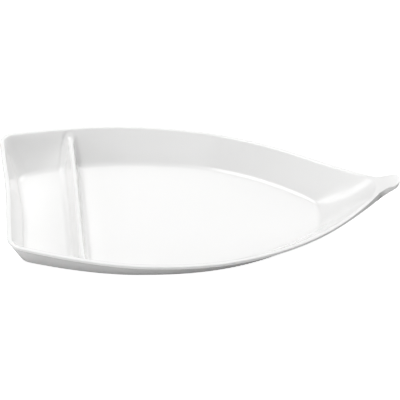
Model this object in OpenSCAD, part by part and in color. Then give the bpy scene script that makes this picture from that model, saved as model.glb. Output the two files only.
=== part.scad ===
// Boat-shaped chip and dip server, moulded in one colour. Millimetres.
// +X runs from the transom to the bow, +Z is up, and the origin is under
// the middle of the dish, on the surface that it stands on.
// The stations below are measured forward from the transom.

/* [Plan of the rim] */
// Length over all, from the transom to the tip of the bow tab
length = 400; // [320:1:480]
// Greatest width of the rim
beam = 214; // [180:1:240]
// Station of the greatest width
beam_station = 130; // [110:1:150]
// Width of the transom, before its corners are rounded
transom_w = 168; // [140:1:180]
// How far the middle of the transom's edge stands in
transom_hollow = 2; // [0:0.5:4]
// Radius of the two stern corners at the rim
corner_r = 12; // [8:1:18]
// How full the sides are towards the stern
stern_fullness = 1.6; // [1.4:0.05:2]
// How full the sides are towards the bow
bow_fullness = 2.39; // [2:0.01:3]
// Width of the level rim land
land_w = 4; // [3:0.5:6]

/* [Heights] */
// Height of the rim at the transom
stern_h = 43; // [38:0.5:55]
// Height of the rim at its lowest station
waist_h = 32; // [26:0.5:37]
// Station where the rim is lowest
waist_station = 235; // [180:1:260]
// How the rim's line bends up towards the stern
stern_sheer = 1.65; // [1.3:0.05:2.2]
// How the rim's line bends up towards the bow
bow_sheer = 4.3; // [3:0.1:5]
// Height of the rim where the bow tab begins
bow_h = 49; // [40:0.5:58]
// Height of the upright edge of the rim
lip_h = 2.8; // [2:0.1:4]
// Chamfer under that edge, down to the wall
lip_step = 0.8; // [0.4:0.1:1.2]
// Length over which that edge deepens to the thickness of the bow tab
bow_lip_run = 44; // [30:1:70]

/* [Floor] */
// Thickness of the floor
floor_t = 4; // [3:0.5:6]
// Greatest width of the floor
floor_w = 159; // [130:1:170]
// Width of the floor at its stern edge
floor_stern_w = 119; // [95:1:128]
// Width of the floor at its bow edge
floor_bow_w = 40; // [30:1:50]
// How full the floor is towards the stern
floor_stern_fullness = 1.75; // [1.4:0.05:2.2]
// How full the floor is towards the bow
floor_bow_fullness = 2.52; // [2:0.01:3]
// Station of the floor's stern edge
floor_stern = 20; // [16:1:26]
// Station of the floor's bow edge
floor_bow = 321; // [260:1:340]
// How far the middle of the floor's bow edge stands out
floor_bow_bulge = 1.5; // [0:0.5:4]
// Radius of the floor's stern corners
floor_corner_r = 10; // [6:1:14]
// Radius of the floor's bow corners
floor_bow_r = 6; // [4:1:10]
// Station where the hollow's walls begin to turn round the bow
bow_turn = 298; // [280:1:320]
// Station that the hollow's end bends towards, half way up
bow_mid = 354; // [346:1:360]
// Reach of the fillet between the floor and the walls
fillet_reach = 4; // [2:0.5:5]
// How far the underside reaches past the floor's edge
base_out = 4; // [3:0.5:6]
// Reach of the rounding along the edge of the underside
base_round = 3; // [2:0.5:4]

/* [Divider] */
// Station of the divider's middle
divider_station = 74; // [60:1:100]
// Height of the divider's crest above the floor
divider_h = 25; // [18:0.5:27]
// Radius of the divider's crest
crest_r = 2.5; // [2:0.1:3.5]
// Thickness of the divider at the floor, before its fillets
divider_foot_t = 14; // [10:0.5:18]
// Reach of the fillets along the divider's foot
divider_fillet = 4; // [2:0.5:6]

/* [Bow tab] */
// Length of the tab
tab_l = 19; // [14:0.5:26]
// Width of the tab
tab_w = 19; // [15:0.5:22]
// How far each side of the tab spreads at its root
tab_flare = 1.5; // [0.5:0.25:3]
// Rise of the tab from its root to its tip
tab_rise = 8; // [4:0.5:12]
// Thickness of the tab at its root
tab_root_t = 9; // [6:0.5:11]
// Thickness of the tab at its tip
tab_tip_t = 3.5; // [3:0.5:6]
// Radius of the tab's two end corners
tab_end_r = 7; // [4:0.5:7]

/* [Foot ring] */
// Height of the ring
foot_h = 2; // [1:0.25:4]
// Width of the ring
foot_w = 5; // [3:0.5:8]
// How far the ring stands in from the edge of the underside
foot_inset = 9; // [7:0.5:16]

/* [Hidden] */

WHITE = [0.96, 0.96, 0.95];

// Steps along half an outline: the stern edge, its corner, the run to the
// bow, and the part of the run that crosses the tab's root
TRANSOM_STEPS = 5;
CORNER_STEPS = 5;
RUN_STEPS = 60;
END_STEPS = 5;
// How strongly the steps of a run shorten towards the bow
RUN_CROWDING = 1.5;
// Close points on each stretch of a run before it is divided
CLOSE_STEPS = 40;
// Steps along the tab, and round its end
TAB_STEPS = 6;
// Steps round a fillet, round each edge of the rim, and down the inner wall
ROUND_STEPS = 4;
EDGE_STEPS = 2;
WALL_STEPS = 4;

tab_root = length - tab_l;           // station where the tab begins
bottom_z = foot_h;                   // underside of the hull
floor_z = bottom_z + floor_t;        // top of the floor
land_end = tab_root - land_w;        // station where the hollow ends
edge_r = land_w / 4;                 // reach of the rounding of the rim's edges

// Slopes of the rim where the tab begins, in height and in plan
root_climb = (bow_h - waist_h) * bow_sheer / (tab_root - waist_station);
root_half = tab_w / 2 + tab_flare;
root_taper = (beam / 2 - root_half) * bow_fullness / (tab_root - beam_station);

// ---- curves -------------------------------------------------------------

// Part of the way from a to b
function part_way(a, b, k) = a + (b - a) * k;

// The share of a run that has passed, held between none and all
function share(v, start, run) = min(max((v - start) / run, 0), 1);

// The point d along from a towards b
function towards(a, b, d) = a + (b - a) * d / norm(b - a);

// A rounded corner from a past the corner v to c. It is the affine picture
// of a quarter circle, and leaves along a-v and arrives along v-c.
function rounded(a, v, c, k) = a + (v - a) * sin(90 * k) + (c - v) * (1 - cos(90 * k));

// A half width that falls from its widest station to both ends, each by a
// power of the share of the way. stern and bow are [station, half width, power].
function full_half(x, mid, widest, stern, bow) =
    widest
    - (widest - stern[1]) * pow(max(mid - x, 0) / (mid - stern[0]), stern[2])
    - (widest - bow[1]) * pow(max(x - mid, 0) / (bow[0] - mid), bow[2]);

// Half width of the rim's outer edge
function rim_half(x) = full_half(
    x, beam_station, beam / 2, [0, transom_w / 2, stern_fullness], [tab_root, root_half, bow_fullness]);

// Half width of the rim's inner edge, a land's width in along the normal
function land_half(x) = let (slope = rim_half(x + 0.5) - rim_half(x - 0.5))
    rim_half(x) - land_w * sqrt(1 + slope * slope);

// Half width of the outer wall's head, under the upright edge
function head_half(x) = rim_half(x) - lip_step;

// Half width of the floor, with no fillet
function floor_half(x) = full_half(
    min(max(x, floor_stern), floor_bow), beam_station, floor_w / 2,
    [floor_stern, floor_stern_w / 2, floor_stern_fullness],
    [floor_bow, floor_bow_w / 2, floor_bow_fullness]);

// Height of the rim
function rim_z(x) =
    waist_h
    + (stern_h - waist_h) * pow(max(waist_station - x, 0) / waist_station, stern_sheer)
    + (bow_h - waist_h) * pow(max(x - waist_station, 0) / (tab_root - waist_station), bow_sheer);

// Height of the foot of the rim's upright edge, which deepens to the tab
function lip_z(x) =
    rim_z(x) - part_way(lip_h, tab_root_t, pow(share(x, tab_root - bow_lip_run, bow_lip_run), 2));

// Inward bend of a stern edge, none at the corners and most at the middle
function hollow(y, y_end) = transom_hollow * pow(cos(90 * y / y_end), 2);

// Outward bend of the floor's bow edge
function bulge(y, y_end) = floor_bow_bulge * (1 - pow(y / y_end, 2));

// ---- half outlines, from the middle of the stern to the middle of the bow --

// The way along a line of points up to each of them
function ways(line) = [for (i = 0, way = 0; i < len(line);
    way = way + norm(line[min(i + 1, len(line) - 1)] - line[i]), i = i + 1) way];

// The share of a run that is behind its step i, with steps that shorten
// towards the bow
function passed(i) = 1 - pow(1 - i / RUN_STEPS, RUN_CROWDING);

// A line of close points divided anew by its own length, so that the same step
// of any two runs is as far along both
function divided(line, count) =
    let (way = ways(line), last = len(line) - 1,
         xs = [for (i = [0 : last]) [way[i], line[i].x]],
         ys = [for (i = [0 : last]) [way[i], line[i].y]])
    [for (i = [0 : count]) let (at = way[last] * passed(i) / passed(count))
        [lookup(at, xs), lookup(at, ys)]];

// Close points along a side from station x0 to station x1
function side(x0, x1, half) =
    [for (i = [0 : CLOSE_STEPS - 1]) let (x = part_way(x0, x1, i / CLOSE_STEPS)) [x, half(x)]];

// Close points round the rounded corner a-v-c
function turn(a, v, c) = [for (i = [0 : CLOSE_STEPS]) rounded(a, v, c, i / CLOSE_STEPS)];

// Half an outline: the stern edge at station x0, its corner of radius r, and
// the run to the bow
function outline(x0, r, half, run) = let (y_end = half(x0) - r) concat(
    [for (i = [0 : TRANSOM_STEPS - 1])
        let (y = y_end * i / TRANSOM_STEPS) [x0 + hollow(y, y_end), y]],
    [for (i = [0 : CORNER_STEPS - 1])
        rounded([x0, y_end], [x0, half(x0)], [x0 + r, half(x0 + r)], i / CORNER_STEPS)],
    run);

// A run from station x0 that narrows to the tab's root and is cut off there
function cut_run(x0, half) = concat(
    divided(concat(side(x0, tab_root, half), [[tab_root, half(tab_root)]]), RUN_STEPS - END_STEPS),
    [for (i = [1 : END_STEPS]) [tab_root, half(tab_root) * (1 - i / END_STEPS)]]);

function rim_outline() = let (half = function (x) rim_half(x))
    outline(0, corner_r, half, cut_run(corner_r, half));

function head_outline() = let (half = function (x) head_half(x))
    outline(lip_step, corner_r - lip_step, half, cut_run(corner_r, half));

function land_outline() =
    let (half = function (x) land_half(x), r = corner_r - land_w, nose = land_end - 2 * land_w)
    outline(land_w, r, half, divided(
        concat(
            side(land_w + r, nose, half),
            turn([nose, half(nose)], [land_end, half(land_end)], [land_end, 0])),
        RUN_STEPS));

// The floor's outline moved outwards by `out`
function floor_outline(out) =
    let (half = function (x) floor_half(x) + out, x0 = floor_stern - out, x1 = floor_bow + out,
         corner = x1 - floor_bow_r, y_bow = half(x1) - floor_bow_r)
    outline(x0, floor_corner_r, half, divided(
        concat(
            side(x0 + floor_corner_r, corner, half),
            turn([corner, half(corner)], [x1, half(x1)], [x1, y_bow]),
            [for (i = [1 : END_STEPS]) let (y = y_bow * (1 - i / END_STEPS)) [x1 + bulge(y, y_bow), y]]),
        RUN_STEPS));

// The line that the hollow's walls bend towards half way up: the mean of its
// two edges, and past station bow_turn a round nose along the mean's direction
function mid_outline() =
    let (land = land_outline(), crease = floor_outline(0), first = TRANSOM_STEPS + CORNER_STEPS,
         mean = [for (i = [0 : len(land) - 1]) (land[i] + crease[i]) / 2],
         straight = [for (i = [first : len(mean) - 1]) if (mean[i].x < bow_turn) mean[i]],
         last = len(straight) - 1, ahead = straight[last] - straight[last - 1],
         corner = straight[last] + ahead * (bow_mid - straight[last].x) / ahead.x)
    concat(
        [for (i = [0 : first - 1]) mean[i]],
        divided(
            concat([for (i = [0 : last - 1]) straight[i]], turn(straight[last], corner, [bow_mid, 0])),
            RUN_STEPS));

// Both halves of an outline as one closed loop, at the dish's own origin
function both_sides(half) = let (n = len(half)) concat(
    [for (p = half) [p.x - length / 2, p.y]],
    [for (i = [n - 2 : -1 : 1]) [half[i].x - length / 2, -half[i].y]]);

// A loop in space, each point at the height that `height` gives its station
function raised(loop, height) = [for (p = loop) [p.x, p.y, height(p.x + length / 2)]];

function level(loop, z) = [for (p = loop) [p.x, p.y, z]];

// ---- the moulding -------------------------------------------------------

// Steps between a and c of a quadratic curve that bends towards v
function quadratic(a, v, c, steps) = [for (i = [1 : steps - 1]) let (k = i / steps)
    part_way(part_way(a, v, k), part_way(v, c, k), k)];

// Rounded steps from a past the corner v to c, both ends included
function bend(a, v, c, steps) = [for (i = [0 : steps]) rounded(a, v, c, i / steps)];

// The rounding of the rim's outer edge, which stays sharp across the face
// that the tab stands on
function outer_edge(low, top, inner) = let (a = towards(top, low, edge_r), c = towards(top, inner, edge_r))
    top.x > tab_root - length / 2 - edge_r && abs(top.y) < root_half - edge_r
        ? [a, top, c] : bend(a, top, c, EDGE_STEPS);

// The sections of the shell, one for each place on the outlines: from under
// the floor, out and up the outer wall, over the land, down the inner wall,
// which is straight but for its bend at the bow, and in along the floor
function shell_sections() =
    let (rim = both_sides(rim_outline()),
         top = raised(rim, function (x) rim_z(x)),
         lip = raised(rim, function (x) lip_z(x)),
         head = raised(both_sides(head_outline()), function (x) lip_z(x) - lip_step),
         land = raised(both_sides(land_outline()), function (x) rim_z(x)),
         crease = level(both_sides(floor_outline(0)), floor_z),
         plan = both_sides(mid_outline()),
         mid = [for (i = [0 : len(plan) - 1]) [plan[i].x, plan[i].y, (land[i].z + floor_z) / 2]],
         flat = level(both_sides(floor_outline(-fillet_reach)), floor_z),
         base = level(both_sides(floor_outline(base_out)), bottom_z),
         under = level(both_sides(floor_outline(base_out - base_round)), bottom_z))
    [for (i = [0 : len(rim) - 1]) let (
            wall_top = towards(land[i], mid[i], edge_r),
            wall_foot = towards(crease[i], mid[i], fillet_reach)) concat(
        bend(under[i], base[i], towards(base[i], head[i], base_round), ROUND_STEPS),
        [head[i]],
        [lip[i]],
        outer_edge(lip[i], top[i], land[i]),
        bend(towards(land[i], top[i], edge_r), land[i], wall_top, EDGE_STEPS),
        quadratic(wall_top, mid[i], wall_foot, WALL_STEPS),
        bend(wall_foot, crease[i], flat[i], ROUND_STEPS))];

// Triangles between the neighbours in a closed ring of n sections of m points
// each, and fans to the points n * m and n * m + 1 that close the two ends
function ring_faces(n, m) = concat(
    [for (i = [0 : n - 1], j = [0 : m - 2]) let (k = (i + 1) % n)
        [i * m + j, k * m + j + 1, i * m + j + 1]],
    [for (i = [0 : n - 1], j = [0 : m - 2]) let (k = (i + 1) % n)
        [i * m + j, k * m + j, k * m + j + 1]],
    [for (i = [0 : n - 1]) let (k = (i + 1) % n) [n * m, k * m, i * m]],
    [for (i = [0 : n - 1]) let (k = (i + 1) % n) [n * m + 1, i * m + m - 1, k * m + m - 1]]);

// The same triangles seen from the other side
function turned_over(faces) = [for (f = faces) [f[2], f[1], f[0]]];

module closed_ring(sections, first, last, turned = false) {
    faces = ring_faces(len(sections), len(sections[0]));
    polyhedron(
        points = concat([for (s = sections) each s], [first, last]),
        faces = turned ? turned_over(faces) : faces);
}

module hull() {
    color(WHITE) closed_ring(shell_sections(), [0, 0, bottom_z], [0, 0, floor_z]);
}

// The room inside the hull, on the hull's own points and triangles. It is
// closed by a low roof from the rim to the height of the stern.
module room() {
    inner_count = WALL_STEPS + ROUND_STEPS + 1;
    inner = [for (s = shell_sections())
        [for (j = [len(s) - inner_count : len(s) - 1]) s[j]]];
    closed_ring(inner, [0, 0, stern_h], [0, 0, floor_z], turned = true);
}

// ---- bow tab ------------------------------------------------------------

// Half width of the tab d ahead of its root: the rim's taper dies out, and
// the two end corners are round
function tab_half(d) = let (k = share(d, tab_l - tab_end_r, tab_end_r))
    tab_w / 2 + tab_flare * pow(1 - d / tab_l, root_taper * tab_l / tab_flare)
    - tab_end_r * (1 - sqrt(1 - k * k));

// Height of the tab's top, which leaves the root at the rim's own slope
function tab_z(d) = bow_h + root_climb * d + (tab_rise - root_climb * tab_l) * pow(d / tab_l, 2);

// The tab's section d ahead of its root, up one side and down the other
function tab_section(d) =
    let (w = tab_half(d), z = tab_z(d), low = z - part_way(tab_root_t, tab_tip_t, d / tab_l),
         side = concat(
             [[w - lip_step, low - lip_step], [w, low]],
             bend([w, z - edge_r], [w, z], [w - edge_r, z], EDGE_STEPS)),
         n = len(side))
    concat([for (p = side) [-p.x, p.y]], [for (i = [n - 1 : -1 : 0]) side[i]]);

// Distances ahead of the root, closer together where the end is round
function tab_stations() = concat(
    [for (i = [0 : TAB_STEPS - 1]) (tab_l - tab_end_r) * i / TAB_STEPS],
    [for (i = [0 : TAB_STEPS]) tab_l - tab_end_r * (1 - sin(90 * i / TAB_STEPS))]);

module bow_tab() {
    stations = tab_stations();
    sections = [for (d = stations) tab_section(d)];
    root_x = tab_root - length / 2;
    color(WHITE) closed_ring(
        [for (i = [0 : len(sections[0]) - 1])
            [for (j = [0 : len(stations) - 1])
                [root_x + stations[j], sections[j][i].x, sections[j][i].y]]],
        [root_x, 0, bow_h - tab_root_t / 2],
        [root_x + tab_l, 0, bow_h + tab_rise - tab_tip_t / 2]);
}

// ---- divider ------------------------------------------------------------

// Half the divider's section: in along the floor, round the fillet, up the
// flank and over the crest
function divider_half() =
    let (foot = [divider_foot_t / 2, 0], shoulder = [crest_r, divider_h - crest_r])
    concat(
        bend(foot + [divider_fillet, 0], foot, towards(foot, shoulder, divider_fillet), ROUND_STEPS),
        bend(shoulder, [crest_r, divider_h], [0, divider_h], ROUND_STEPS));

function divider_section() = let (half = divider_half(), n = len(half))
    concat(half, [for (i = [n - 2 : -1 : 0]) [-half[i].x, half[i].y]]);

module divider() {
    color(WHITE) intersection() {
        translate([divider_station - length / 2, beam / 2, floor_z])
            rotate([90, 0, 0]) linear_extrude(beam) polygon(divider_section());
        room();
    }
}

// ---- foot ring ----------------------------------------------------------

module foot_ring() {
    color(WHITE) linear_extrude(foot_h) difference() {
        polygon(both_sides(floor_outline(base_out - foot_inset)));
        polygon(both_sides(floor_outline(base_out - foot_inset - foot_w)));
    }
}

hull();
bow_tab();
divider();
foot_ring();
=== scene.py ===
"""Boat-shaped chip and dip server: a glossy white moulded dish in a white studio.

The dish stands on z = 0 with its bow along +X. Lengths are in metres. Stations are
measured forward from the transom. Every piece is a surface worked out on a grid from the
dish's mould lines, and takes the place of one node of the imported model.
"""

import logging
import math
from collections.abc import Callable
from dataclasses import dataclass
from enum import Enum

import bmesh
import bpy
import numpy as np
from mathutils import Matrix, Vector


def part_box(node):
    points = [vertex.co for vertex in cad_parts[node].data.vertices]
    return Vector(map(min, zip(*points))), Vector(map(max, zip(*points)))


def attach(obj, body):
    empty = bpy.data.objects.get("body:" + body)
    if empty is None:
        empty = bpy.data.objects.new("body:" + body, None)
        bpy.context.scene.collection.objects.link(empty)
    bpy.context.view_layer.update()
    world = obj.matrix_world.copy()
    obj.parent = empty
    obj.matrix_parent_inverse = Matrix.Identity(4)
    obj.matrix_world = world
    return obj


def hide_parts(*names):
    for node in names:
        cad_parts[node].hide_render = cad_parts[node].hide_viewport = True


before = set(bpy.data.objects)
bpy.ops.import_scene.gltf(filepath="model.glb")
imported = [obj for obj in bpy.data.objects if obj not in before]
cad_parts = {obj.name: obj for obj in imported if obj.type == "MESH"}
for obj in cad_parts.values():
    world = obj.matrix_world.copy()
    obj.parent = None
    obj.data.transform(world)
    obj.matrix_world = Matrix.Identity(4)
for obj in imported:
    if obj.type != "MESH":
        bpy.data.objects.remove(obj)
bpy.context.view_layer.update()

BODY = "root"
CLOSE_STEPS = 400          # close points on each stretch of an outline before it is divided
SHARP_DEG = 38.0           # angle between faces past which their edge stays sharp
TOUCHING = 1e-7            # distance within which two points are one
HALVINGS = 44              # how often a bracket is halved to find a crossing
LOG = logging.getLogger("server")

Curve = Callable[[np.ndarray], np.ndarray]      # a function worked out on whole arrays


class Node(Enum):
    """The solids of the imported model."""

    HULL = "hull"
    BOW_TAB = "bow_tab"
    DIVIDER = "divider"
    FOOT_RING = "foot_ring"


class Slot(Enum):
    """The material slots of the record."""

    DISH = "dish"
    FOOT = "foot"


# ---------------------------------------------------------------------------
# Curves
# ---------------------------------------------------------------------------


def blend(a: np.ndarray | float, b: np.ndarray | float, k: np.ndarray | float) -> np.ndarray:
    """Part of the way from a to b.

    Args:
        a: Where the share is none.
        b: Where the share is all.
        k: The share of the way.

    Returns:
        a plus k times the way from a to b.
    """
    return a + (b - a) * k


def rounded(a: np.ndarray, v: np.ndarray, c: np.ndarray, k: np.ndarray) -> np.ndarray:
    """A rounded corner, the affine picture of a quarter circle.

    The point is a, plus the sine of the turn times the leg a to v, plus one less the
    cosine of the turn times the leg v to c, so it leaves along the first leg and arrives
    along the second.

    Args:
        a: Start of the corner.
        v: The sharp corner.
        c: End of the corner.
        k: Share of the quarter turn, along a new last axis but one.

    Returns:
        The points of the corner.
    """
    turn = np.asarray(k) * math.pi / 2
    return a + (v - a) * np.sin(turn)[..., None] + (c - v) * (1 - np.cos(turn))[..., None]


def full_half(x: np.ndarray, mid: float, widest: float,
              stern: tuple[float, float, float], bow: tuple[float, float, float]) -> np.ndarray:
    """Half width of an outline that is widest at one station and falls to both ends.

    The fall on either side is a power of the share of the way from the widest station.

    Args:
        x: Stations.
        mid: The widest station.
        widest: Half width there.
        stern: Station, half width and power of the stern's end.
        bow: Station, half width and power of the bow's end.

    Returns:
        The half width at each station.
    """
    aft = np.maximum(mid - x, 0) / (mid - stern[0])
    ahead = np.maximum(x - mid, 0) / (bow[0] - mid)
    return widest - (widest - stern[1]) * aft ** stern[2] - (widest - bow[1]) * ahead ** bow[2]


def share(v: np.ndarray, start: float, run: float) -> np.ndarray:
    """The share of a run that has passed at v, held between none and all."""
    return np.clip((v - start) / run, 0, 1)


def steps(count: int, last: bool = False) -> np.ndarray:
    """Shares from 0 towards 1 in equal steps, with 1 itself only if last is set."""
    return np.arange(count + (1 if last else 0)) / count


def both_sides(half: np.ndarray) -> np.ndarray:
    """Closes half an outline, stern middle to bow middle, with its mirror image."""
    return np.concatenate([half, (half * (1, -1))[-2:0:-1]])


def inset(loop: np.ndarray, distance: float) -> np.ndarray:
    """Moves a closed plan outline inwards along its normals.

    The normal is the way from the last point to the next, turned a quarter turn.

    Args:
        loop: Points that run from the stern over +Y to the bow and back.
        distance: How far to move, outwards where it is negative.

    Returns:
        The moved points.
    """
    way = np.roll(loop, -1, 0) - np.roll(loop, 1, 0)
    way /= np.linalg.norm(way, axis=1, keepdims=True)
    return loop + distance * np.stack([way[:, 1], -way[:, 0]], 1)


def toward(a: np.ndarray, b: np.ndarray, d: float) -> np.ndarray:
    """The points d along from a towards b."""
    return a + (b - a) * d / np.linalg.norm(b - a, axis=-1, keepdims=True)


def ruled(a: np.ndarray, b: np.ndarray, count: int) -> np.ndarray:
    """Rows of straight lines from the points a towards the points b, without the last row."""
    return blend(a, b, steps(count)[:, None, None])


def bend(a: np.ndarray, v: np.ndarray, c: np.ndarray, count: int) -> np.ndarray:
    """Rows of rounded corners from a past v to c, without the last row."""
    turn = np.broadcast_to(steps(count)[:, None], (count, len(a)))
    return rounded(a[None], v[None], c[None], turn)


def crossing(low: np.ndarray, high: np.ndarray, value: Curve) -> np.ndarray:
    """Finds where a rising function crosses nought, by halving its bracket.

    Args:
        low: Places where the function is below nought.
        high: Places where it is above.
        value: The function.

    Returns:
        The place of each crossing.
    """
    for _ in range(HALVINGS):
        middle = (low + high) / 2
        above = value(middle) > 0
        low, high = np.where(above, low, middle), np.where(above, middle, high)
    return (low + high) / 2


def heading(azimuth: float, elevation: float) -> Vector:
    """The direction from the dish at an azimuth and an elevation.

    Its height is the sine of the elevation, and its plan is as long as the cosine.

    Args:
        azimuth: Degrees round from -Y towards +X, the bow.
        elevation: Degrees above the table.

    Returns:
        A vector of length one.
    """
    a, e = math.radians(azimuth), math.radians(elevation)
    return Vector((math.sin(a) * math.cos(e), -math.cos(a) * math.cos(e), math.sin(e)))


# ---------------------------------------------------------------------------
# Mould lines
# ---------------------------------------------------------------------------


@dataclass(frozen=True)
class MouldLines:
    """The outlines and heights that every piece of the dish shares.

    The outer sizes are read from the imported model's boxes, and the others are set here.
    """

    length: float
    beam: float
    tab_root: float
    bow_h: float
    tab_rise: float
    root_half: float
    bottom_z: float
    floor_z: float
    beam_station: float = 0.130
    transom_w: float = 0.168
    transom_hollow: float = 0.002
    corner_r: float = 0.012
    stern_fullness: float = 1.6
    bow_fullness: float = 2.39
    land_w: float = 0.004
    stern_h: float = 0.043
    waist_h: float = 0.032
    waist_station: float = 0.235
    stern_sheer: float = 1.65
    bow_sheer: float = 4.3
    lip_h: float = 0.0028
    lip_step: float = 0.0008
    bow_lip_run: float = 0.044
    floor_w: float = 0.159
    floor_stern_w: float = 0.119
    floor_bow_w: float = 0.040
    floor_stern_fullness: float = 1.75
    floor_bow_fullness: float = 2.52
    floor_stern: float = 0.020
    floor_bow: float = 0.321
    floor_bow_bulge: float = 0.0015
    floor_corner_r: float = 0.010
    floor_bow_r: float = 0.006
    bow_turn: float = 0.298
    bow_mid: float = 0.354
    fillet_reach: float = 0.004
    base_out: float = 0.004
    base_round: float = 0.003
    tab_w: float = 0.019
    tab_root_t: float = 0.009
    tab_tip_t: float = 0.0035
    tab_end_r: float = 0.007
    transom_steps: int = 26
    corner_steps: int = 18
    run_steps: int = 230
    bow_crowding: float = 1.5

    @classmethod
    def from_frame(cls) -> "MouldLines":
        """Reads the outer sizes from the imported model's boxes.

        Returns:
            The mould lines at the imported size.
        """
        hull_low, hull_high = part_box(Node.HULL.value)
        tab_low, tab_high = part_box(Node.BOW_TAB.value)
        return cls(
            length=tab_high.x - hull_low.x, beam=2 * hull_high.y, tab_root=tab_low.x - hull_low.x,
            bow_h=hull_high.z, tab_rise=tab_high.z - hull_high.z, root_half=tab_high.y,
            bottom_z=hull_low.z, floor_z=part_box(Node.DIVIDER.value)[0].z)

    @property
    def tab_l(self) -> float:
        """Length of the bow tab."""
        return self.length - self.tab_root

    @property
    def edge_r(self) -> float:
        """Reach of the rounding along the rim's edges."""
        return self.land_w / 4

    # ---- half widths and heights by station ----

    def rim_half(self, x: np.ndarray) -> np.ndarray:
        """Half width of the rim's outer edge, tab included.

        The sides fall by a power to the tab's root. Past it the half width is the tab's
        own, plus a spread that dies out by the power which keeps the sides' slope.

        Args:
            x: Stations.

        Returns:
            The half width at each station.
        """
        side = full_half(np.minimum(x, self.tab_root), self.beam_station, self.beam / 2,
                         (0.0, self.transom_w / 2, self.stern_fullness),
                         (self.tab_root, self.root_half, self.bow_fullness))
        run = self.tab_root - self.beam_station
        taper = (self.beam / 2 - self.root_half) * self.bow_fullness / run
        flare = self.root_half - self.tab_w / 2
        spread = flare * (1 - share(x, self.tab_root, self.tab_l)) ** (taper * self.tab_l / flare)
        return side - flare + spread

    def land_half(self, x: np.ndarray) -> np.ndarray:
        """Half width of the rim's inner edge, a land's width in along the normal.

        Args:
            x: Stations.

        Returns:
            The half width at each station.
        """
        near = 0.0005
        slope = (self.rim_half(x + near) - self.rim_half(x - near)) / (2 * near)
        return self.rim_half(x) - self.land_w * np.sqrt(1 + slope * slope)

    def head_half(self, x: np.ndarray) -> np.ndarray:
        """Half width of the outer wall's head, under the upright edge."""
        return self.rim_half(x) - self.lip_step

    def floor_half(self, x: np.ndarray) -> np.ndarray:
        """Half width of the floor, with no fillet.

        Args:
            x: Stations.

        Returns:
            The half width at each station.
        """
        x = np.clip(x, self.floor_stern, self.floor_bow)
        return full_half(x, self.beam_station, self.floor_w / 2,
                         (self.floor_stern, self.floor_stern_w / 2, self.floor_stern_fullness),
                         (self.floor_bow, self.floor_bow_w / 2, self.floor_bow_fullness))

    def rim_z(self, x: np.ndarray) -> np.ndarray:
        """Height of the rim, tab included.

        The height is the waist's, plus a power of the share of the way to the stern and
        another to the tab's root. The tab goes on at the root's slope and eases off by
        the square of the share of its length.

        Args:
            x: Stations.

        Returns:
            The height at each station.
        """
        run = self.tab_root - self.waist_station
        climb = (self.bow_h - self.waist_h) * self.bow_sheer / run
        past = np.maximum(x - self.tab_root, 0)
        ahead = np.minimum(x, self.tab_root) - self.waist_station
        aft_share = np.maximum(-ahead, 0) / self.waist_station
        ahead_share = np.maximum(ahead, 0) / run
        return (self.waist_h
                + (self.stern_h - self.waist_h) * aft_share ** self.stern_sheer
                + (self.bow_h - self.waist_h) * ahead_share ** self.bow_sheer
                + climb * past + (self.tab_rise - climb * self.tab_l) * (past / self.tab_l) ** 2)

    def lip_z(self, x: np.ndarray) -> np.ndarray:
        """Height of the foot of the rim's upright edge.

        The edge's depth grows by a square towards the tab's root and shrinks evenly to
        the tab's tip.

        Args:
            x: Stations.

        Returns:
            The height at each station.
        """
        depth = blend(self.lip_h, self.tab_root_t,
                      share(x, self.tab_root - self.bow_lip_run, self.bow_lip_run) ** 2)
        depth = depth - (self.tab_root_t - self.tab_tip_t) * share(x, self.tab_root, self.tab_l)
        return self.rim_z(x) - depth

    # ---- outlines ----

    def _outline(self, x0: float, r: float, run: np.ndarray, half: Curve) -> np.ndarray:
        """A closed outline from its stern edge, its stern corner and its run to the bow.

        The stern edge bends in by the square of the cosine of its share of a quarter
        turn, so that it is straight at both ends.

        Args:
            x0: Station of the stern edge.
            r: Radius of its corner.
            run: Close points from the end of the corner to the middle of the bow.
            half: Function from stations to half widths.

        Returns:
            The points of the loop.
        """
        y_end = half(x0) - r
        k = steps(self.transom_steps)
        stern = np.stack([x0 + self.transom_hollow * np.cos(k * math.pi / 2) ** 2, k * y_end], 1)
        corner = self._turn((x0, y_end), (x0, half(x0)), (x0 + r, half(x0 + r)),
                            steps(self.corner_steps))
        return both_sides(np.concatenate([stern, corner, self._divided(run)]))

    def _divided(self, run: np.ndarray) -> np.ndarray:
        """Divides a run to the bow anew by its own length.

        The steps shorten towards the bow by a power of what is left of the run, so that
        the same step on any two runs is as far along both.

        Args:
            run: Close points from the end of the stern corner to the middle of the bow.

        Returns:
            The points at the ends of the steps.
        """
        way = np.concatenate([[0], np.cumsum(np.linalg.norm(np.diff(run, axis=0), axis=1))])
        at = way[-1] * (1 - (1 - steps(self.run_steps, last=True)) ** self.bow_crowding)
        return np.stack([np.interp(at, way, run[:, axis]) for axis in range(2)], 1)

    def _side(self, x0: float, x1: float, half: Curve) -> np.ndarray:
        """Close points along a side from station x0 to station x1."""
        x = blend(x0, x1, steps(CLOSE_STEPS))
        return np.stack([x, half(x)], 1)

    def _nose(self, x0: float, x1: float, half: Curve) -> np.ndarray:
        """A round nose from the sides at station x0 to the middle line at station x1."""
        side, corner, middle = (x0, half(x0)), (x1, half(x1)), (x1, 0.0)
        return self._turn(side, corner, middle, steps(CLOSE_STEPS, last=True))

    @staticmethod
    def _turn(a: tuple[float, float], v: tuple[float, float], c: tuple[float, float],
              k: np.ndarray) -> np.ndarray:
        """Points at the shares k of the rounded plan corner from a past v to c."""
        return rounded(np.array(a), np.array(v), np.array(c), k)

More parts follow.
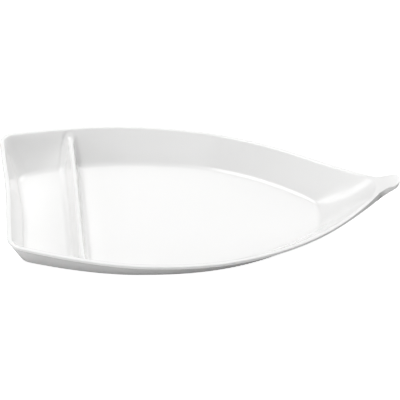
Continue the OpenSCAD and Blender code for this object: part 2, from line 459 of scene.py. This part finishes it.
    def rim_outline(self) -> np.ndarray:
        """The rim's outer edge with the tab, as a closed loop.

        Returns:
            The points of the loop.
        """
        tip, half = self.length, self.tab_w / 2
        turn, y_end = tip - self.tab_end_r, half - self.tab_end_r
        end = self._turn((turn, half), (tip, half), (tip, y_end), steps(CLOSE_STEPS))
        run = [self._side(self.corner_r, self.tab_root, self.rim_half),
               self._side(self.tab_root, turn, self.rim_half), end, [[tip, y_end], [tip, 0]]]
        return self._outline(0.0, self.corner_r, np.concatenate(run), self.rim_half)

    def land_outline(self) -> np.ndarray:
        """The rim's inner edge, as a closed loop.

        Returns:
            The points of the loop.
        """
        end, r = self.tab_root - self.land_w, self.corner_r - self.land_w
        start = end - 2 * self.land_w
        run = [self._side(self.land_w + r, start, self.land_half),
               self._nose(start, end, self.land_half)]
        return self._outline(self.land_w, r, np.concatenate(run), self.land_half)

    def head_outline(self) -> np.ndarray:
        """The head of the outer wall, as a closed loop.

        Returns:
            The points of the loop.
        """
        start, end = self.tab_root - 2 * self.land_w, self.tab_root + self.lip_step
        r = self.corner_r - self.lip_step
        run = [self._side(self.lip_step + r, start, self.head_half),
               self._nose(start, end, self.head_half)]
        return self._outline(self.lip_step, r, np.concatenate(run), self.head_half)

    def floor_outline(self, out: float) -> np.ndarray:
        """The floor's outline moved outwards, as a closed loop.

        Its bow edge bulges by one less the square of the share of its half width.

        Args:
            out: How far it is moved.

        Returns:
            The points of the loop.
        """
        def half(x: np.ndarray) -> np.ndarray:
            """Half width of the moved outline."""
            return self.floor_half(x) + out

        start, end = self.floor_stern - out, self.floor_bow + out
        turn, y_bow = end - self.floor_bow_r, half(end) - self.floor_bow_r
        corner = self._turn((turn, half(turn)), (end, half(end)), (end, y_bow), steps(CLOSE_STEPS))
        y = y_bow * (1 - steps(CLOSE_STEPS, last=True))
        bow = np.stack([end + self.floor_bow_bulge * (1 - (y / y_bow) ** 2), y], 1)
        run = [self._side(start + self.floor_corner_r, turn, half), corner, bow]
        return self._outline(start, self.floor_corner_r, np.concatenate(run), half)

    def mid_outline(self) -> np.ndarray:
        """The line that the hollow's walls bend towards half way up, as a closed loop.

        It is the mean of the rim's inner edge and the floor's edge, where the walls are
        straight. Past one station it is a round nose instead, which sets out along the
        mean's own direction.

        Returns:
            The points of the loop.
        """
        mean = (self.land_outline() + self.floor_outline(0.0)) / 2
        first = self.transom_steps + self.corner_steps
        half = mean[first:first + self.run_steps + 1]
        side = half[half[:, 0] < self.bow_turn]
        ahead = side[-1] - side[-2]
        corner = side[-1] + ahead * (self.bow_mid - side[-1, 0]) / ahead[0]
        nose = self._turn(side[-1], corner, (self.bow_mid, 0.0), steps(CLOSE_STEPS, last=True))
        run = self._divided(np.concatenate([side[:-1], nose]))
        return both_sides(np.concatenate([mean[:first], run]))

    def place(self, loop: np.ndarray, z: np.ndarray | float) -> np.ndarray:
        """Puts a plan loop into the dish's frame at the given heights.

        Args:
            loop: Stations and half widths.
            z: Height of each point, or of all.

        Returns:
            Points in space, with the origin under the dish's middle.
        """
        height = np.broadcast_to(z, len(loop))
        return np.stack([loop[:, 0] - self.length / 2, loop[:, 1], height], 1)


# ---------------------------------------------------------------------------
# Meshes
# ---------------------------------------------------------------------------


def grid_quads(rows: int, columns: int, wrap_rows: bool, wrap_columns: bool) -> np.ndarray:
    """Vertex numbers of the quads of a grid whose points are numbered row by row.

    Args:
        rows: Points along the first axis.
        columns: Points along the second.
        wrap_rows: Whether the last row meets the first.
        wrap_columns: Whether the last column meets the first.

    Returns:
        One row of four numbers for each quad.
    """
    i = np.arange(rows if wrap_rows else rows - 1)[:, None]
    j = np.arange(columns if wrap_columns else columns - 1)[None, :]
    below, beside = (i + 1) % rows, (j + 1) % columns
    quads = [i * columns + j, i * columns + beside, below * columns + beside, below * columns + j]
    return np.stack(quads, -1).reshape(-1, 4)


def closed_piece(name: str, points: np.ndarray, faces: list[np.ndarray]) -> bpy.types.Object:
    """Makes a smooth closed mesh object with its faces turned outwards.

    Args:
        name: Name of the piece.
        points: Vertex positions, one row each.
        faces: Arrays of vertex numbers, each of quads or of triangles.

    Returns:
        The new object, linked to the scene.
    """
    corners = np.concatenate([f.ravel() for f in faces])
    sizes = np.concatenate([np.full(len(f), f.shape[1]) for f in faces])
    mesh = bpy.data.meshes.new(name)
    mesh.vertices.add(len(points))
    mesh.vertices.foreach_set("co", points.astype(np.float32).ravel())
    mesh.loops.add(len(corners))
    mesh.loops.foreach_set("vertex_index", corners.astype(np.int32))
    mesh.polygons.add(len(sizes))
    starts = np.concatenate([[0], np.cumsum(sizes)[:-1]])
    mesh.polygons.foreach_set("loop_start", starts.astype(np.int32))
    mesh.update(calc_edges=True)
    mesh.validate()
    obj = bpy.data.objects.new(name, mesh)
    bpy.context.scene.collection.objects.link(obj)
    finish_mesh(obj)
    return obj


def finish_mesh(obj: bpy.types.Object) -> None:
    """Merges doubles, turns all faces outwards and shades smooth but for sharp edges.

    Args:
        obj: The piece.
    """
    work = bmesh.new()
    work.from_mesh(obj.data)
    bmesh.ops.remove_doubles(work, verts=work.verts, dist=TOUCHING)
    bmesh.ops.recalc_face_normals(work, faces=work.faces)
    work.to_mesh(obj.data)
    work.free()
    obj.data.shade_smooth()
    obj.data.set_sharp_from_angle(angle=math.radians(SHARP_DEG))


# ---------------------------------------------------------------------------
# Finishes
# ---------------------------------------------------------------------------


@dataclass(frozen=True)
class GlazedMelamine:
    """White moulded melamine: a hard clear gloss over a faintly uneven white body."""

    name: str = "white_melamine"
    color: tuple[float, float, float] = (0.905, 0.905, 0.9)
    tint: float = 0.012
    cloud_scale: float = 22.0
    cloud_detail: float = 3.0
    cloud_range: tuple[float, float] = (0.3, 0.7)
    roughness: tuple[float, float] = (0.13, 0.2)
    peel_scale: float = 420.0
    peel_detail: float = 1.0
    peel_height: float = 0.000012
    coat: float = 0.35
    coat_roughness: float = 0.05
    ior: float = 1.5

    def material(self) -> bpy.types.Material:
        """Builds the node tree, all of it on Object coordinates.

        A slow cloud of noise shades the colour and the roughness by a few hundredths, and
        a fine noise raises the skin by a few thousandths of a millimetre, as on a surface
        that was pressed in a polished mould.

        Returns:
            The material.
        """
        mat = bpy.data.materials.new(self.name)
        mat.use_nodes = True
        nodes, links = mat.node_tree.nodes, mat.node_tree.links
        shader = nodes["Principled BSDF"]
        shader.inputs["IOR"].default_value = self.ior
        shader.inputs["Coat Weight"].default_value = self.coat
        shader.inputs["Coat Roughness"].default_value = self.coat_roughness
        place = nodes.new("ShaderNodeTexCoord")

        def noise(scale: float, detail: float) -> bpy.types.Node:
            """Makes a noise on the piece's own coordinates.

            Args:
                scale: Its cells to a metre, about.
                detail: Its finer layers.

            Returns:
                The node.
            """
            node = nodes.new("ShaderNodeTexNoise")
            node.inputs["Scale"].default_value = scale
            node.inputs["Detail"].default_value = detail
            links.new(place.outputs["Object"], node.inputs["Vector"])
            return node

        cloud = noise(self.cloud_scale, self.cloud_detail)
        shade = nodes.new("ShaderNodeMix")
        shade.data_type = "RGBA"
        dark = tuple(c * (1 - self.tint) for c in self.color)
        shade.inputs["A"].default_value = (*dark, 1.0)
        shade.inputs["B"].default_value = (*self.color, 1.0)
        links.new(cloud.outputs["Fac"], shade.inputs["Factor"])
        links.new(shade.outputs["Result"], shader.inputs["Base Color"])

        gloss = nodes.new("ShaderNodeMapRange")
        ends = ("From Min", "From Max", "To Min", "To Max")
        for end, value in zip(ends, self.cloud_range + self.roughness):
            gloss.inputs[end].default_value = value
        links.new(cloud.outputs["Fac"], gloss.inputs["Value"])
        links.new(gloss.outputs["Result"], shader.inputs["Roughness"])

        peel = noise(self.peel_scale, self.peel_detail)
        bump = nodes.new("ShaderNodeBump")
        bump.inputs["Strength"].default_value = 1.0
        bump.inputs["Distance"].default_value = self.peel_height
        links.new(peel.outputs["Fac"], bump.inputs["Height"])
        links.new(bump.outputs["Normal"], shader.inputs["Normal"])
        return mat


@dataclass(frozen=True)
class MattCard:
    """A plain matt surface of the studio, which may glow."""

    name: str
    shade: float
    glow: float = 0.0
    roughness: float = 0.9

    def material(self) -> bpy.types.Material:
        """Builds a matt grey with an even glow.

        Returns:
            The material.
        """
        mat = bpy.data.materials.new(self.name)
        mat.use_nodes = True
        shader = mat.node_tree.nodes["Principled BSDF"]
        shader.inputs["Base Color"].default_value = (self.shade, self.shade, self.shade, 1.0)
        shader.inputs["Roughness"].default_value = self.roughness
        shader.inputs["Specular IOR Level"].default_value = 0.0
        shader.inputs["Emission Color"].default_value = (1.0, 1.0, 1.0, 1.0)
        shader.inputs["Emission Strength"].default_value = self.glow
        return mat


def dress(obj: bpy.types.Object, mat: bpy.types.Material, slot: Slot,
          *stands_for: Node) -> None:
    """Gives a finished piece its material and body, and hides and logs the CAD nodes it stands
    for.

    Args:
        obj: The piece.
        mat: Its material.
        slot: Not used.
        *stands_for: CAD nodes that the piece replaces.
    """
    obj.data.materials.clear()
    obj.data.materials.append(mat)
    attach(obj, BODY)
    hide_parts(*(n.value for n in stands_for))
    LOG.info("%s: %d faces, stands for %s", obj.name, len(obj.data.polygons),
             ", ".join(n.value for n in stands_for))


# ---------------------------------------------------------------------------
# Pieces
# ---------------------------------------------------------------------------


@dataclass(frozen=True)
class MouldedShell:
    """The hull and its bow tab, one skin that is parted at the tab's root."""

    lines: MouldLines
    flat_rows: int = 10
    wall_rows: int = 12
    fillet_rows: int = 10
    edge_rows: int = 6
    land_rows: int = 6
    chamfer_rows: int = 2
    lip_rows: int = 3

    def outside(self) -> np.ndarray:
        """The skin from the middle underneath to the rim's inner edge, row by row.

        The rows run out under the floor, round the base, up the outer wall, over the
        chamfer and the upright edge, and across the land at the rim's height for each
        station.

        Returns:
            Points by row, place on the outline, and axis.
        """
        m = self.lines
        rim, head_plan = m.rim_outline(), m.head_outline()
        rim_in, land_out = inset(rim, m.edge_r), inset(m.land_outline(), -m.edge_r)
        top, rim_top = m.place(rim, m.rim_z(rim[:, 0])), m.place(rim_in, m.rim_z(rim_in[:, 0]))
        lip = m.place(rim, m.lip_z(rim[:, 0]))
        head = m.place(head_plan, m.lip_z(np.minimum(head_plan[:, 0], m.tab_root)) - m.lip_step)
        base = m.place(m.floor_outline(m.base_out), m.bottom_z)
        under = m.place(m.floor_outline(m.base_out - m.base_round), m.bottom_z)
        middle = np.broadcast_to([0, 0, m.bottom_z], under.shape)
        base_end = toward(base, head, m.base_round)
        edge_low = toward(top, lip, m.edge_r)
        across = ruled(rim_top, m.place(land_out, m.rim_z(land_out[:, 0])), self.land_rows)
        across[..., 2] = m.rim_z(across[..., 0] + m.length / 2)
        return np.concatenate([
            ruled(middle, under, self.flat_rows)[1:],
            bend(under, base, base_end, self.fillet_rows),
            ruled(base_end, head, self.wall_rows),
            ruled(head, lip, self.chamfer_rows),
            ruled(lip, edge_low, self.lip_rows),
            bend(edge_low, top, rim_top, self.edge_rows),
            across,
        ])

    def inside(self) -> np.ndarray:
        """The skin from the rim's inner edge to the middle of the floor, row by row.

        The rows run down the inner wall and round the fillet on to the floor. The wall is
        a quadratic curve whose middle control point lies on the mid outline, and straight
        where the three points are in line.

        Returns:
            Points by row, place on the outline, and axis.
        """
        m = self.lines
        land = m.land_outline()
        land_out = inset(land, -m.edge_r)
        land_top = m.place(land_out, m.rim_z(land_out[:, 0]))
        land_edge = m.place(land, m.rim_z(land[:, 0]))
        crease = m.place(m.floor_outline(0.0), m.floor_z)
        flat = m.place(m.floor_outline(-m.fillet_reach), m.floor_z)
        middle = np.broadcast_to([0, 0, m.floor_z], flat.shape)
        mid = m.place(m.mid_outline(), (land_edge[:, 2] + m.floor_z) / 2)
        wall_top = toward(land_edge, mid, m.edge_r)
        wall_foot = toward(crease, mid, m.fillet_reach)
        down = steps(self.wall_rows)[:, None, None]
        return np.concatenate([
            bend(land_top, land_edge, wall_top, self.edge_rows),
            blend(blend(wall_top, mid, down), blend(mid, wall_foot, down), down),
            bend(wall_foot, crease, flat, self.fillet_rows),
            ruled(flat, middle, self.flat_rows),
        ])

    def build(self) -> list[bpy.types.Object]:
        """Makes the whole skin, closes it at its two middles, and parts it.

        Returns:
            The hull and the bow tab.
        """
        grid = np.concatenate([self.outside(), self.inside()])
        rows, columns = grid.shape[:2]
        last = rows * columns
        points = np.concatenate([
            grid.reshape(-1, 3),
            [[0, 0, self.lines.bottom_z], [0, 0, self.lines.floor_z]]])
        here = np.arange(columns)
        beside = (here + 1) % columns
        low_fan = np.stack([np.full(columns, last), here, beside], 1)
        top_row = last - columns
        top_fan = np.stack([np.full(columns, last + 1), top_row + beside, top_row + here], 1)
        whole = closed_piece("hull_shell", points,
                             [grid_quads(rows, columns, False, True), low_fan, top_fan])
        tab = bpy.data.objects.new("bow_tab_grip", whole.data.copy())
        bpy.context.scene.collection.objects.link(tab)
        self._part(whole, keep_ahead=False)
        self._part(tab, keep_ahead=True)
        return [whole, tab]

    def _part(self, obj: bpy.types.Object, keep_ahead: bool) -> None:
        """Cuts a piece at the tab's root and closes the cut with a flat face.

        Args:
            obj: The piece.
            keep_ahead: Whether the tab is kept, rather than the hull.
        """
        work = bmesh.new()
        work.from_mesh(obj.data)
        cut = bmesh.ops.bisect_plane(
            work, geom=work.verts[:] + work.edges[:] + work.faces[:], dist=TOUCHING,
            plane_co=(self.lines.tab_root - self.lines.length / 2, 0, 0), plane_no=(1, 0, 0),
            clear_inner=keep_ahead, clear_outer=not keep_ahead)
        rim = [e for e in cut["geom_cut"] if isinstance(e, bmesh.types.BMEdge)]
        bmesh.ops.triangle_fill(work, use_beauty=True, edges=rim)
        work.to_mesh(obj.data)
        work.free()
        finish_mesh(obj)


@dataclass(frozen=True)
class PlanTable:
    """Values on an even plan grid, alike on both sides of the dish."""

    x: np.ndarray
    y: np.ndarray
    values: np.ndarray
    margin: float = 1.001

    def read(self, x: np.ndarray, y: np.ndarray) -> np.ndarray:
        """Reads the table between its points, evenly along both axes.

        The margin, a little over one step, keeps the last cell's far corner in the table.

        Args:
            x: Places along the dish.
            y: Places across it, on either side.

        Returns:
            The value at each place.
        """
        t = self.values
        u = np.clip((x - self.x[0]) / (self.x[1] - self.x[0]), 0, len(self.x) - self.margin)
        v = np.clip(np.abs(y) / (self.y[1] - self.y[0]), 0, len(self.y) - self.margin)
        i, j = u.astype(int), v.astype(int)
        a, b = u - i, v - j
        return ((t[i, j] * (1 - a) + t[i + 1, j] * a) * (1 - b)
                + (t[i, j + 1] * (1 - a) + t[i + 1, j + 1] * a) * b)


@dataclass(frozen=True)
class Divider:
    """The cross wall between the two wells, with fillets into the floor and both sides."""

    lines: MouldLines
    shell: MouldedShell
    crest_r: float = 0.0025
    foot_half: float = 0.007
    blend_reach: float = 0.006
    widest_blend: float = 1.8          # past the foot, in reaches
    columns: int = 260
    rows: int = 96
    end_crowding: float = 0.35         # the sine's share in the steps along the divider
    crest_crowding: float = 1.35       # the power of the steps across it
    sunk: float = 0.00003
    start_under: float = 0.001
    table_columns: int = 81
    table_rows: int = 1600

    def _inner_surface(self, x_mid: float, reach: float) -> PlanTable:
        """Height of the hull's inner surface on a fine plan grid round the divider.

        Each row of the shell's inner wall, fillet and floor is a curve along the side, so
        its half width and height are read at every place along the grid. The height at a
        half width is then read across the rows.

        Args:
            x_mid: Middle of the divider.
            reach: How far the grid goes to either side of it.

        Returns:
            The heights by place along the dish and half width.
        """
        side_from = self.lines.transom_steps + self.lines.corner_steps
        side = self.shell.inside()[:, side_from:side_from + self.lines.run_steps // 2]
        x = np.linspace(x_mid - reach, x_mid + reach, self.table_columns)
        half = np.stack([np.interp(x, row[:, 0], row[:, 1]) for row in side])
        height = np.stack([np.interp(x, row[:, 0], row[:, 2]) for row in side])
        y = np.linspace(0, half.max(), self.table_rows)
        level = np.stack([np.interp(y, half[::-1, i], height[::-1, i]) for i in range(len(x))])
        return PlanTable(x, y, level)

    def _from_section(self, dx: np.ndarray | float, z: np.ndarray, crest_z: float) -> np.ndarray:
        """Distance from the divider's section, a circle above and a leaning line below.

        The line leaves the circle as a tangent and meets the floor at the foot's half
        width.

        Args:
            dx: How far from the divider's middle.
            z: Height.
            crest_z: Height of the crest.

        Returns:
            The distance, less than nought inside the section.
        """
        centre_z = crest_z - self.crest_r
        drop = centre_z - self.lines.floor_z
        lean = (math.acos(self.crest_r / math.hypot(self.foot_half, drop))
                - math.atan2(drop, self.foot_half))
        dx, dz = np.abs(dx), z - centre_z
        along = dz * math.cos(lean) - dx * math.sin(lean)
        flank = dx * math.cos(lean) + dz * math.sin(lean) - self.crest_r
        return np.where(along > 0, np.hypot(dx, dz) - self.crest_r, flank)

    def build(self) -> bpy.types.Object:
        """Makes the divider as the skin where a blended distance is nought.

        One distance is from the hull's inner surface, the height above it times the
        cosine of its slope. The other is from the divider's section. Their smooth least
        falls below the lesser by the square of how much the reach exceeds their
        difference, over four times the reach, and is their plain least where they differ
        by more, so the fillets run out tangent to both.

        Returns:
            The divider.
        """
        low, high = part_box(Node.DIVIDER.value)
        x_mid, crest_z = (low.x + high.x) / 2, high.z
        reach = self.blend_reach
        level = self._inner_surface(x_mid, self.foot_half + 2 * reach)
        dz_dx, dz_dy = np.gradient(level.values, level.x, level.y)
        steep = PlanTable(level.x, level.y, 1 / np.sqrt(1 + dz_dx ** 2 + dz_dy ** 2))

        def past_blend(dx: np.ndarray | float, y: np.ndarray) -> np.ndarray:
            """How far the hull's surface lies past the reach of the section's blend."""
            return self._from_section(dx, level.read(x_mid + dx, y), crest_z) - reach

        y_end = float(crossing(np.array(0.0), np.array(level.y[-1]), lambda y: past_blend(0.0, y)))
        turn = np.linspace(-1, 1, self.columns + 1)
        y = (y_end * np.sin(turn * math.pi / 2) * self.end_crowding
             + y_end * turn * (1 - self.end_crowding))
        widest = np.full_like(y, self.foot_half + self.widest_blend * reach)
        width = crossing(np.zeros_like(y), widest, lambda dx: past_blend(dx, y))
        side = np.linspace(-1, 1, self.rows + 1)
        across = np.sign(side) * np.abs(side) ** self.crest_crowding
        dx = across[:, None] * width[None]
        plan_y = np.broadcast_to(y, dx.shape)
        ground, slope = level.read(x_mid + dx, plan_y), steep.read(x_mid + dx, plan_y)

        def blended(z: np.ndarray) -> np.ndarray:
            """Smooth least of the distances from the hull and from the section.

            Args:
                z: Height over each point of the plan.

            Returns:
                The blended distance at each point.
            """
            from_hull, from_wall = (z - ground) * slope, self._from_section(dx, z, crest_z)
            more = np.maximum(reach - np.abs(from_hull - from_wall), 0)
            return np.minimum(from_hull, from_wall) - more ** 2 / (4 * reach)

        over = np.full_like(ground, crest_z + 2 * reach)
        top = np.maximum(crossing(ground - self.start_under, over, blended), ground)
        edge = np.ones_like(top, bool)
        edge[1:-1, 1:-1] = False
        skin = np.stack([x_mid + dx, plan_y, np.where(edge, ground, top)], -1)
        sole = np.stack([x_mid + dx, plan_y, np.where(edge, ground, ground - self.sunk)], -1)
        points = np.concatenate([skin.reshape(-1, 3), sole.reshape(-1, 3)])
        quads = grid_quads(*dx.shape, False, False)
        return closed_piece("divider_wall", points, [quads, quads[:, ::-1] + dx.size])


@dataclass(frozen=True)
class FootRing:
    """The low ring under the floor, with softened lower edges."""

    lines: MouldLines
    inset_by: float = 0.009
    width: float = 0.005
    edge_r: float = 0.0009
    edge_rows: int = 6

    def build(self) -> bpy.types.Object:
        """Sweeps the ring's section round the floor's outline.

        The section is a rectangle whose two lower corners are quarter circles, between
        an outer and an inner copy of the outline.

        Returns:
            The ring.
        """
        m = self.lines
        outer, inner = m.base_out - self.inset_by, m.base_out - self.inset_by - self.width

        def ring(out: float, z: float) -> np.ndarray:
            """The outline moved outwards, at a height."""
            return m.place(m.floor_outline(out), z)

        turn = steps(self.edge_rows, last=True) * math.pi / 2
        drop, shift = self.edge_r * (1 - np.sin(turn)), self.edge_r * (1 - np.cos(turn))
        rows = ([ring(outer, m.bottom_z)]
                + [ring(outer - s, d) for s, d in zip(shift, drop)]
                + [ring(inner + s, d) for s, d in zip(shift[::-1], drop[::-1])]
                + [ring(inner, m.bottom_z)])
        grid = np.stack(rows)
        quads = grid_quads(*grid.shape[:2], True, True)
        return closed_piece("foot_ring_rim", grid.reshape(-1, 3), [quads])


# ---------------------------------------------------------------------------
# Studio
# ---------------------------------------------------------------------------


@dataclass(frozen=True)
class SoftBox:
    """A soft rectangular light that faces the dish."""

    name: str
    azimuth: float
    elevation: float
    width: float
    height: float
    power: float
    distance: float = 1.8

    def build(self, target: Vector) -> None:
        """Puts the light on a sphere round the target and turns it to face it.

        Args:
            target: The point that the light faces.
        """
        lamp = bpy.data.lights.new(self.name, "AREA")
        lamp.shape = "RECTANGLE"
        lamp.size, lamp.size_y, lamp.energy = self.width, self.height, self.power
        obj = bpy.data.objects.new(self.name, lamp)
        back = heading(self.azimuth, self.elevation)
        obj.location = target + back * self.distance
        obj.rotation_euler = back.to_track_quat("Z", "Y").to_euler()
        bpy.context.scene.collection.objects.link(obj)


@dataclass(frozen=True)
class Studio:
    """The two floors, the lights and the camera."""

    lens: float = 360.0
    sensor: float = 36.0
    azimuth: float = -8.89
    elevation: float = 41.5
    roll: float = 5.8
    distance: float = 4.0446
    aim_height: float = 0.017
    aim_up: float = 0.0081
    clip: tuple[float, float] = (0.1, 50.0)
    light_height: float = 0.02
    world: float = 0.02
    floor_size: float = 6.0
    sweep: MattCard = MattCard("white_sweep", 0.8, 0.93)
    table: MattCard = MattCard("pale_table", 0.65)
    boxes: tuple[SoftBox, ...] = (
        SoftBox("overhead_box", 258, 71, 1.5, 1.0, 20.7),
        SoftBox("stern_box", 248, 28, 0.9, 0.5, 4),
        SoftBox("stern_low_box", 310, 8, 1.6, 0.7, 8),
        SoftBox("bow_box", 128, 45, 0.9, 0.9, 10),
        SoftBox("bow_low_box", 135, 15, 1.7, 0.9, 10),
        SoftBox("back_box", 180, 45, 0.8, 0.9, 2.6),
        SoftBox("front_box", 10, 42, 1.2, 0.7, 2.4),
        SoftBox("front_low_box", 340, 24, 0.9, 0.4, 4),
    )

    def floor(self, card: MattCard, seen: bool) -> None:
        """Lays one of the two floors, which share a place and divide the work.

        The glowing sweep is what the camera sees, and the duller table is what throws
        light up at the dish. Neither shades the other.

        Args:
            card: The floor's surface.
            seen: Whether the camera sees it, and the dish does not.
        """
        bpy.ops.mesh.primitive_plane_add(size=self.floor_size, location=(0, 0, 0))
        floor = bpy.context.object
        floor.name = card.name
        floor.data.materials.append(card.material())
        floor.visible_camera = seen
        floor.visible_diffuse = floor.visible_glossy = not seen
        floor.visible_shadow = False

    def camera(self) -> None:
        """Places the camera on its direction from the dish, rolled about its own axis."""
        r = math.radians(self.roll)
        back = heading(self.azimuth, self.elevation)
        level_right = Vector((0, 0, 1)).cross(back).normalized()
        level_up = back.cross(level_right)
        right = level_right * math.cos(r) + level_up * math.sin(r)
        up = back.cross(right)
        aim = Vector((0, 0, self.aim_height)) + up * self.aim_up
        data = bpy.data.cameras.new("camera")
        data.lens, data.sensor_width = self.lens, self.sensor
        data.clip_start, data.clip_end = self.clip
        cam = bpy.data.objects.new("camera", data)
        place = Matrix.Translation(aim + back * self.distance)
        cam.matrix_world = place @ Matrix((right, up, back)).transposed().to_4x4()
        bpy.context.scene.collection.objects.link(cam)
        bpy.context.scene.camera = cam

    def build(self) -> None:
        """Makes the world, the floors, the lights and the camera."""
        scene = bpy.context.scene
        scene.view_settings.view_transform = "Standard"
        world = bpy.data.worlds.new("studio")
        world.use_nodes = True
        world.node_tree.nodes["Background"].inputs["Color"].default_value = (1.0, 1.0, 1.0, 1.0)
        world.node_tree.nodes["Background"].inputs["Strength"].default_value = self.world
        scene.world = world
        self.floor(self.sweep, seen=True)
        self.floor(self.table, seen=False)
        for box in self.boxes:
            box.build(Vector((0, 0, self.light_height)))
        self.camera()


def main() -> None:
    """Builds and dresses every piece, then the studio."""
    logging.basicConfig(level=logging.INFO, format="%(name)s: %(message)s")
    lines = MouldLines.from_frame()
    white = GlazedMelamine().material()
    worn = GlazedMelamine("worn_melamine", (0.885, 0.885, 0.88),
                          roughness=(0.26, 0.38), coat=0.1).material()
    shell = MouldedShell(lines)
    hull, tab = shell.build()
    dress(hull, white, Slot.DISH, Node.HULL)
    dress(tab, white, Slot.DISH, Node.BOW_TAB)
    dress(Divider(lines, shell).build(), white, Slot.DISH, Node.DIVIDER)
    dress(FootRing(lines).build(), worn, Slot.FOOT, Node.FOOT_RING)
    Studio().build()


if __name__ == "__main__":
    main()
